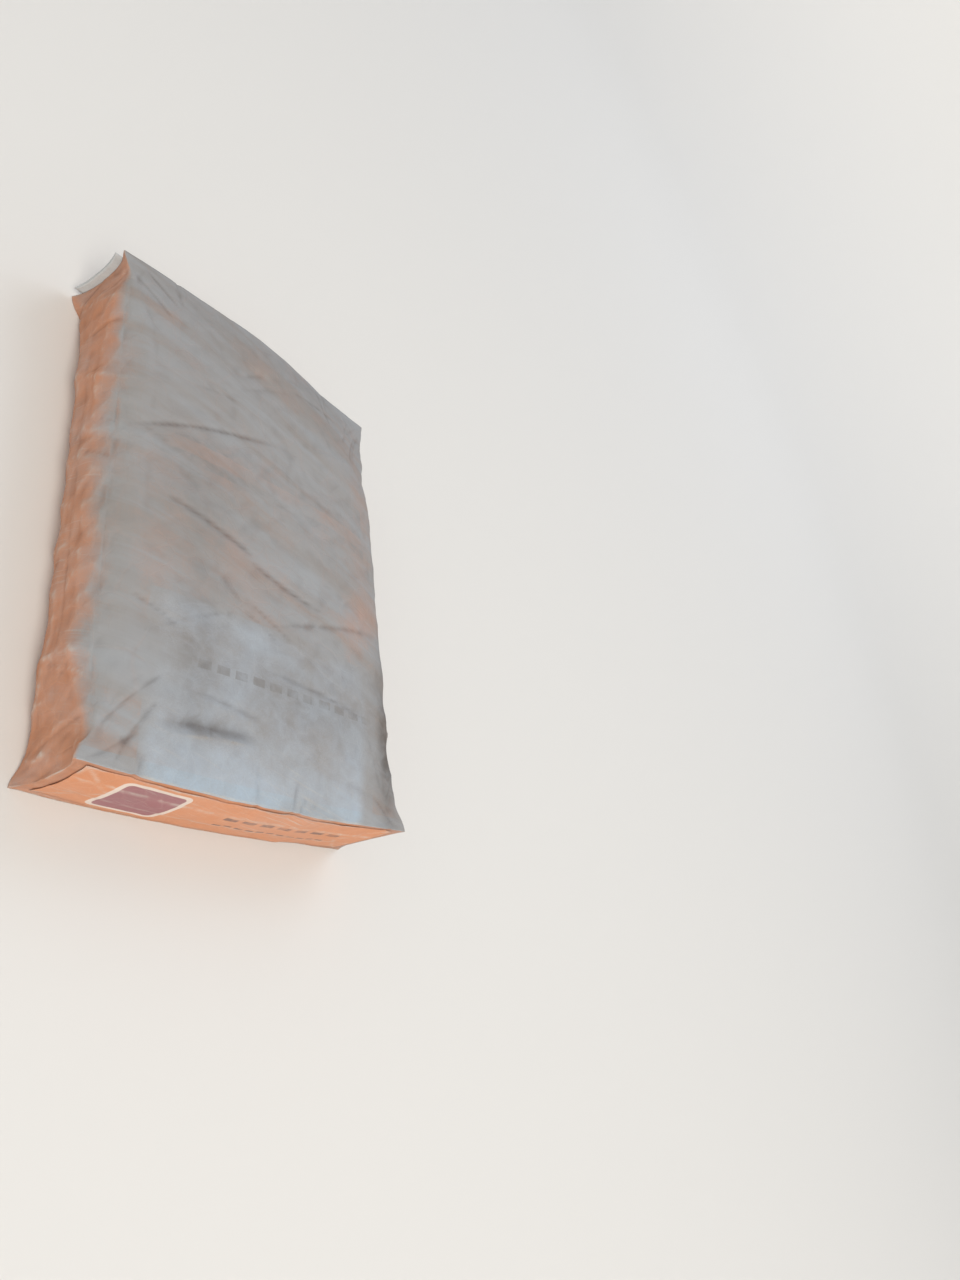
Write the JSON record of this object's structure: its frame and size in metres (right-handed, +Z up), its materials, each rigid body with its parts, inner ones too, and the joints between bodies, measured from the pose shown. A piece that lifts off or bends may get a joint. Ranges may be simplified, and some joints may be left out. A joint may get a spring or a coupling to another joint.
{
  "type": "bag of gypsum plaster",
  "caption": "Filled block-bottom paper sack of gypsum plaster lying on its large face, with glued end patches and a filling valve sleeve at one corner.",
  "frame": {"origin": "middle of the sack's overall box, on the floor under its flat underside", "axes": "+Z up, +Y along the sack towards the end with the valve, +X across the sack, away from the valve corner"},
  "size_m": [0.4158, 0.6246, 0.124],
  "materials": {
    "sack_paper": "matte",
    "patch_paper": "matte",
    "sleeve_paper": "matte"
  },
  "bodies": {
    "root": {"filled_sack": "sack_paper", "near_end_patch": "patch_paper", "valve_end_patch": "patch_paper", "valve_sleeve": "sleeve_paper"}
  },
  "joints": []
}
